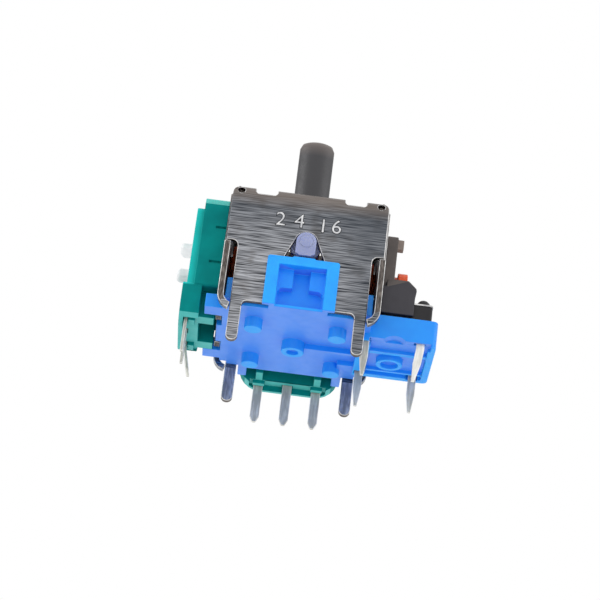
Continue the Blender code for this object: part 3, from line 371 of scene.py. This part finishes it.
# painted shade: the orange darkens where it reaches inside the can
fadeAlong(orangeAcetal, "X", 7.0, 6.2, "#7A3520", 0.5)
lilacAcetal = mouldedPlastic("lilacMouldedAcetal", "#979FC4", "#8A93BA", 0.3, glow=0.35, glowDepth=0.8)
whiteAcetal = mouldedPlastic("whiteMouldedAcetal", "#EFF1F2", "#E6E9EA", 0.38, glow=0.2)
blackNylon = mouldedPlastic("blackMouldedNylon", "#1C1A1D", "#161417", 0.45, gloss=0.4)
resinBoard = mouldedPlastic("darkResinBoard", "#33271F", "#271D18", 0.5, patch=0.9)

# metal strips, pins and wires
tinPlate = workedMetal("brightTinPlate", "#AFB0A8", "#D7D7CC", 0.36, (0.2, 0.2, 1.6), metallic=0.3)
paintedHighlightTin = workedMetal("tinPinPaintedHighlight", "#DAD9D4", "#F7F6F2", 0.3, (0.2, 0.2, 1.6), metallic=0.15)
springSteel = workedMetal("drawnSpringSteel", "#7E8085", "#B6B8BD", 0.28, (0.1, 0.1, 0.1))
springBronze = workedMetal("rolledSpringBronze", "#A77E4E", "#D2AC78", 0.28, (0.1, 0.1, 0.9))
print("materials made:", len(bpy.data.materials))


# limits for rounding and settling a shape: merge and cut in m, level in radians, the rest in degrees
shaping = {"merge": 2e-7, "cut": 1e-7, "level": 0.002, "flat": 0.6, "hardFrom": 20}


# a copy of a CAD node with its loose triangles joined
def mergedCopy(name):
    shape = bmesh.new()
    shape.from_mesh(nodes[name].data)
    bmesh.ops.remove_doubles(shape, verts=shape.verts, dist=shaping["merge"])
    for face in shape.faces:
        face.material_index = 0
    return shape


# rounds the sharp edges and gives back the new faces
# corners that shot off the shape are put back on it, and slivers that were turned over are turned back
def roundEdges(shape, size, segments=2, sharpFrom=32, keep=None):
    level = [e for e in shape.edges if e.is_manifold and e.calc_face_angle(1) < shaping["level"]]
    bmesh.ops.beautify_fill(shape, faces=shape.faces, edges=level, method="AREA")
    layers = shape.faces.layers.float_vector
    facing = layers.get("facing") or layers.new("facing")
    shape.normal_update()
    for face in shape.faces:
        face[facing] = face.normal
    skin = BVHTree.FromBMesh(shape)
    sharp = [e for e in shape.edges if e.calc_face_angle(0) > math.radians(sharpFrom)]
    if keep:
        sharp = [e for e in sharp if keep(e)]
    made = bmesh.ops.bevel(
        shape,
        geom=sharp,
        offset=size * mm,
        offset_type="OFFSET",
        segments=segments,
        profile=0.5,
        affect="EDGES",
        clamp_overlap=False,
        loop_slide=False,
        material=-1,  # the new faces keep their neighbours' material
    )
    for corner in shape.verts:
        nearest, _, _, away = skin.find_nearest(corner.co)
        if away > size * mm:
            corner.co = nearest
    shape.normal_update()
    rounded = set(made["faces"])
    for face in shape.faces:
        if face not in rounded and face.normal.dot(face[facing]) < 0:
            face.normal_flip()
    return made["faces"]


# makes the finished object, attaches it to its body and hides the CAD nodes it replaces
def settle(shape, name, body, finishes, replaced=()):
    bmesh.ops.dissolve_limit(
        shape,
        angle_limit=math.radians(shaping["flat"]),
        verts=shape.verts,
        edges=[edge for edge in shape.edges if edge.is_contiguous],
        delimit={"MATERIAL"},
    )
    mesh = bpy.data.meshes.new(name)
    shape.to_mesh(mesh)
    shape.free()
    for finish in finishes:
        mesh.materials.append(finish)
    mesh.shade_smooth()
    mesh.set_sharp_from_angle(angle=math.radians(shaping["hardFrom"]))
    piece = bpy.data.objects.new(name, mesh)
    bpy.context.scene.collection.objects.link(piece)
    even = piece.modifiers.new("evenNormals", "WEIGHTED_NORMAL")
    even.keep_sharp = True
    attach(piece, body)
    if replaced:
        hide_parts(*replaced)
    return piece


def middle(face):
    return face.calc_center_median() / mm


def looksDown(face):
    return face.normal.z < -0.7


# cuts the whole shape along a plane and leaves it closed; the height is in mm
def cutAlong(shape, axis, height):
    normal = Vector([1.0 if i == axis else 0.0 for i in range(3)])
    bmesh.ops.bisect_plane(
        shape,
        geom=shape.verts[:] + shape.edges[:] + shape.faces[:],
        dist=shaping["cut"],
        plane_co=normal * height * mm,
        plane_no=normal,
    )


# the can: plated sheet, sheared edges, rims with a painted highlight and soldered back legs
# lengths in mm, rimFrom in degrees; edgeOn is how far a face across the sheet may lean
can = {
    "sheet": 0.5,
    "slack": 0.02,
    "edgeOn": 0.1,
    "rim": 0.055,
    "rimFrom": 40,
    "slotTop": 6.55,
    "legTop": 0.6,
    "tabStart": 5.4,
    "tabEnd": 6.1,
    "tabLow": 10.4,
}
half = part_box("frame")[1].x / mm
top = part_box("frame")[1].z / mm
inner = can["sheet"] + can["slack"]
shape = mergedCopy("frame")
cutAlong(shape, 2, can["legTop"])
for face in shape.faces:
    spot = middle(face)
    nearest = [min(abs(corner.co[i]) / mm for corner in face.verts) for i in range(2)]
    lowest = min(corner.co.z / mm for corner in face.verts)
    inFlap = min(nearest[1], abs(spot.y)) > half - inner and abs(face.normal.y) < can["edgeOn"]
    inSide = min(nearest[0], abs(spot.x)) > half - inner and abs(face.normal.x) < can["edgeOn"]
    inRoof = lowest > top - inner and abs(face.normal.z) < can["edgeOn"]
    if inFlap or inSide or inRoof:
        face.material_index = 1
    elif spot.z < can["legTop"] and spot.y > 0:
        face.material_index = 3
for face in roundEdges(shape, can["rim"], sharpFrom=can["rimFrom"]):
    # the rounded rims take the painted highlight, except the seams of the corner tabs and the left
    # upright corners
    spot = middle(face)
    corner = min(-spot.x, abs(spot.y)) > half - can["sheet"] and spot.z > can["slotTop"]
    besideTab = abs(spot.x) > can["tabStart"] and can["tabStart"] < abs(spot.y) < can["tabEnd"]
    if besideTab and spot.z > can["tabLow"]:
        face.material_index = 1  # the seams of the corner tabs are dull
    else:
        face.material_index = 0 if corner else 2  # the left upright corners keep their plating
canFinishes = (nickelSheet, shearedSteel, paintedHighlightRim, solderedLeg)
settle(shape, "can_sheet", "module", canFinishes, ["frame"])
print("can finished")

# left sensor housing: a lip along its top and a thin outer plate, both lighter as a painted highlight,
# an underside lighter as painted light, and two open slits beside the can
# all in mm; each slit has its left end and its height
housing = {
    "edge": 0.06,
    "lip": 0.6,
    "outerPlate": -8.6,
    "plateFoot": 3.0,
    "front": -4.4,
    "slits": ((-7.5, 8.42), (-7.7, 5.26)),
    "slitHeight": 0.2,
    "slitDepth": 0.22,
    "underside": 1.0,
}
shape = mergedCopy("left_pot_housing")
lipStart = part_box("left_pot_housing")[1].z / mm - housing["lip"]
cutAlong(shape, 2, lipStart)
for slitEnd, slitZ in housing["slits"]:
    low = slitZ - housing["slitHeight"] / 2
    high = slitZ + housing["slitHeight"] / 2
    cutAlong(shape, 2, low)
    cutAlong(shape, 2, high)
    cutAlong(shape, 0, slitEnd)
    inside = []
    for face in shape.faces:
        spot = middle(face)
        onFront = abs(spot.y - housing["front"]) < 0.01 and face.normal.y < -0.9
        if onFront and spot.x > slitEnd and low < spot.z < high:
            inside.append(face)
    pushed = bmesh.ops.extrude_face_region(shape, geom=inside)
    corners = [part for part in pushed["geom"] if isinstance(part, bmesh.types.BMVert)]
    bmesh.ops.translate(shape, verts=corners, vec=(0, housing["slitDepth"] * mm, 0))
    bmesh.ops.delete(shape, geom=[face for face in inside if face.is_valid], context="FACES")
roundEdges(shape, housing["edge"])
# painted highlight on the lip's front faces and the outer plate's front, painted light on the faces
# under the foot
for face in shape.faces:
    spot = middle(face)
    if face.normal.y < -0.6 and spot.z > lipStart:
        face.material_index = 2
    elif face.normal.y < -0.3 and spot.x < housing["outerPlate"] and spot.z > housing["plateFoot"]:
        face.material_index = 1
    elif looksDown(face) and spot.z < housing["underside"]:
        face.material_index = 3
housingFinishes = (greenNylon, greenThinPlatePaintedHighlight, greenLipPaintedHighlight, greenUndersidePaintedLight)
settle(
    shape,
    "left_housing",
    "module",
    housingFinishes,
    ["left_pot_housing"],
)

# back sensor housing, the same moulding turned to the back wall
shape = mergedCopy("back_pot_housing")
cutAlong(shape, 2, lipStart)
roundEdges(shape, housing["edge"])
# painted highlight on the lip's back-wall faces, painted light on the faces under the foot
for face in shape.faces:
    spot = middle(face)
    if face.normal.x > 0.6 and spot.z > lipStart:
        face.material_index = 2
    elif looksDown(face) and spot.z < housing["underside"]:
        face.material_index = 3
settle(
    shape,
    "back_housing",
    "module",
    housingFinishes,
    ["back_pot_housing"],
)
print("sensor housings finished")

# moulded pieces: each with its edge rounding and its finishes
moulded = {
    "base": (0.06, (blueNylon, blueThinWallPaintedLight, blueUndersidePaintedLight)),
    "stick": (0.1, (stickAcetal,)),
    "push_slider": (0.06, (greyAcetal, brownPaintedReflection, nubPaintedHighlight)),
    "tilt_arm": (0.05, (orangeAcetal,)),
    "cross_arm": (0.05, (lilacAcetal,)),
    "left_rotor": (0.06, (whiteAcetal,)),
    "back_rotor": (0.06, (whiteAcetal,)),
    "switch_body": (0.05, (blackNylon,)),
    "switch_plunger": (0.05, (blackNylon,)),
}
# where the places with painted light or a painted reflection of their own start, and the softer lugs of
# the rotors; in mm
zones = {
    "bracketFront": -6.5,
    "bracketLow": 0.95,
    "undersideLow": 0.3,
    "sliderPlateLow": 5.6,
    "nub": (7.65, 9.2),
    "lugStart": 10.3,
    "lugRound": 0.3,
}
for name, (edge, finishes) in moulded.items():
    shape = mergedCopy(name)
    if name.endswith("rotor"):  # the lugs that stick out are softer than the rest
        reach = 0 if name == "left_rotor" else 1
        roundEdges(
            shape,
            zones["lugRound"],
            segments=4,
            keep=lambda e: all(abs(corner.co[reach]) / mm > zones["lugStart"] for corner in e.verts),
        )
    roundEdges(shape, edge)
    for face in shape.faces:
        spot = middle(face)
        # painted light: the base's front bracket and lowest undersides take a lighter blue, its other
        # undersides a paler blue
        if name == "base" and spot.y < zones["bracketFront"] and spot.z > zones["bracketLow"]:
            face.material_index = 1
        elif name == "base" and looksDown(face):
            face.material_index = 2 if spot.z > zones["undersideLow"] else 1
        # painted reflection: the slider's upper plate takes a brown tone; painted highlight: its nub is
        # paler
        if name == "push_slider" and spot.z > zones["sliderPlateLow"]:
            face.material_index = 2 if spot.x > zones["nub"][0] and spot.z > zones["nub"][1] else 1
    settle(shape, name + "_moulding", bodyOf[name], finishes, [name])
print("mouldings finished:", len(moulded))

# metal strips and pins, with a painted highlight on their punched edges; the front right switch pin gets
# the brightest tin, a painted highlight
strips = {"edge": 0.04, "brightPin": (8.5, -1.0)}
for name in nodes:
    if "terminal" in name:
        shape = mergedCopy(name)
        for face in roundEdges(shape, strips["edge"]):
            face.material_index = 1
        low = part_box(name)[0] / mm
        bright = low.x > strips["brightPin"][0] and low.y < strips["brightPin"][1]
        finishes = (paintedHighlightTin if bright else tinPlate, paintedHighlightTin)
        settle(shape, name + "_strip", bodyOf[name], finishes, [name])
for name, finish in {
    "left_wiper": springBronze,
    "back_wiper": springBronze,
    "switch_dome": springBronze,
    "switch_cover": paintedHighlightRim,
    "stick_pin": springSteel,
    "spring_plate": springSteel,
    "return_spring": springSteel,
    "left_pot_element": resinBoard,
    "back_pot_element": resinBoard,
}.items():
    nodes[name].data.materials.clear()
    nodes[name].data.materials.append(finish)
print("metal parts finished")

# plain tool numbers stamped in the front flap: a dark outline that is a painted shadow, with a raised
# stroke carrying a painted highlight
# lengths in mm; each digit has its x and its z
stamp = {
    "digits": (("2", -2.3, 8.72), ("4", -0.75, 8.73), ("1", 1.2, 8.55), ("6", 2.3, 8.61)),
    "size": 1.75,
    "stroke": -0.012,
    "outline": 0.045,
    "proud": 0.03,
    "outlineProud": 0.012,
}
for index, (digit, x, z) in enumerate(stamp["digits"]):
    for part, offset, proud, finish in (
        ("outline", stamp["outline"], stamp["outlineProud"], stampedShadow),
        ("stroke", stamp["stroke"], stamp["proud"], stampedStrokePaintedHighlight),
    ):
        lettering = bpy.data.curves.new("digit", "FONT")
        lettering.body = digit
        lettering.size = stamp["size"] * mm
        lettering.offset = offset * mm
        lettering.extrude = proud * mm
        lettering.align_x = "CENTER"
        lettering.align_y = "CENTER"
        holder = bpy.data.objects.new("digit", lettering)
        bpy.context.scene.collection.objects.link(holder)
        mesh = bpy.data.meshes.new_from_object(holder)
        bpy.data.objects.remove(holder)
        shape = bmesh.new()
        shape.from_mesh(mesh)
        bmesh.ops.remove_doubles(shape, verts=shape.verts, dist=shaping["cut"])
        upright = Matrix.Translation(Vector((x, -half, z)) * mm) @ Matrix.Rotation(math.pi / 2, 4, "X")
        bmesh.ops.transform(shape, matrix=upright, verts=shape.verts)
        settle(shape, f"stamped_{part}_{index + 1}", "module", (finish,))
print("stamped numbers placed")

# camera, fitted to the photograph: it looks up at the part from below the board's plane
# angles in degrees, lengths in mm; focal, imageSide and the shifts in pixels
view = {
    "azimuth": -0.368,
    "elevation": -25.417,
    "roll": 7.101,
    "distance": 186.505,
    "aimHeight": 5.0,
    "focal": 2236.2,
    "imageSide": 600,
    "shiftRight": -1.118,
    "shiftDown": -1.608,
    "sensor": 36,
    "nearest": 10,
    "furthest": 20000,
}
azimuth = math.radians(view["azimuth"])
elevation = math.radians(view["elevation"])
roll = math.radians(view["roll"])
side = Vector((math.cos(azimuth), math.sin(azimuth), 0))
level = Vector((-math.sin(azimuth), math.cos(azimuth), 0))
look = level * math.cos(elevation) - Vector((0, 0, math.sin(elevation)))
rise = side.cross(look)
right = math.cos(roll) * side + math.sin(roll) * rise
up = -math.sin(roll) * side + math.cos(roll) * rise
lens = bpy.data.cameras.new("camera")
lens.sensor_width = view["sensor"]
lens.lens = view["focal"] * view["sensor"] / view["imageSide"]
lens.shift_x = -view["shiftRight"] / view["imageSide"]
lens.shift_y = view["shiftDown"] / view["imageSide"]
lens.clip_start = view["nearest"] * mm
lens.clip_end = view["furthest"] * mm
camera = bpy.data.objects.new("camera", lens)
bpy.context.scene.collection.objects.link(camera)
turn = Matrix((right, up, -look)).transposed().to_4x4()
place = (Vector((0, 0, view["aimHeight"])) - look * view["distance"]) * mm
camera.matrix_world = Matrix.Translation(place) @ turn
bpy.context.scene.camera = camera

# world: plain soft white all round, two weak square lamps at the sides and a pale floor; lengths in mm
studio = {
    "light": 1.0,
    "lampDistance": 230,
    "lampSize": 130,
    "lampAim": 5.0,
    "lamps": {"leftLamp": ((-1.0, -0.55, 0.35), 0.09), "rightLamp": ((1.0, -0.6, 0.3), 0.07)},
    "floor": "#F2F2F2",
    "floorGap": 0.02,
    "floorReach": 2000,
}
world = bpy.data.worlds.new("studio")
world.use_nodes = True
bpy.context.scene.world = world
world.node_tree.nodes["Background"].inputs["Color"].default_value = (1, 1, 1, 1)
world.node_tree.nodes["Background"].inputs["Strength"].default_value = studio["light"]
for name, (towards, power) in studio["lamps"].items():
    light = bpy.data.lights.new(name, "AREA")
    light.shape = "SQUARE"
    light.size = studio["lampSize"] * mm
    light.energy = power
    lamp = bpy.data.objects.new(name, light)
    away = Vector(towards).normalized()
    lamp.location = (Vector((0, 0, studio["lampAim"])) + away * studio["lampDistance"]) * mm
    lamp.rotation_mode = "QUATERNION"
    lamp.rotation_quaternion = away.to_track_quat("Z", "Y")
    bpy.context.scene.collection.objects.link(lamp)

# the photo's camera looks up from below the floor, so the floor shows only to a camera above it,
# and light passes through it
floorMaterial, tree, shader = newMaterial("paleFloor", studio["floor"], 0.8)
rays = addNode(tree, "ShaderNodeLightPath")
geometry = addNode(tree, "ShaderNodeNewGeometry")
front = addNode(tree, "ShaderNodeMath", links={0: geometry.outputs["Backfacing"]}, operation="LESS_THAN")
seen = addNode(
    tree,
    "ShaderNodeMath",
    links={0: front.outputs[0], 1: rays.outputs["Is Camera Ray"]},
    operation="MULTIPLY",
)
clear = addNode(tree, "ShaderNodeBsdfTransparent")
mix = addNode(
    tree,
    "ShaderNodeMixShader",
    links={0: seen.outputs[0], 1: clear.outputs[0], 2: shader.outputs[0]},
)
tree.links.new(mix.outputs[0], tree.nodes["Material Output"].inputs["Surface"])
shape = bmesh.new()
bmesh.ops.create_grid(shape, x_segments=1, y_segments=1, size=studio["floorReach"] * mm)
floorMesh = bpy.data.meshes.new("floor")
shape.to_mesh(floorMesh)
shape.free()
floor = bpy.data.objects.new("floor", floorMesh)
floor.location = (0, 0, cadBox[0].z - studio["floorGap"] * mm)
floor.data.materials.append(floorMaterial)
bpy.context.scene.collection.objects.link(floor)

bpy.context.scene.view_settings.view_transform = "Standard"
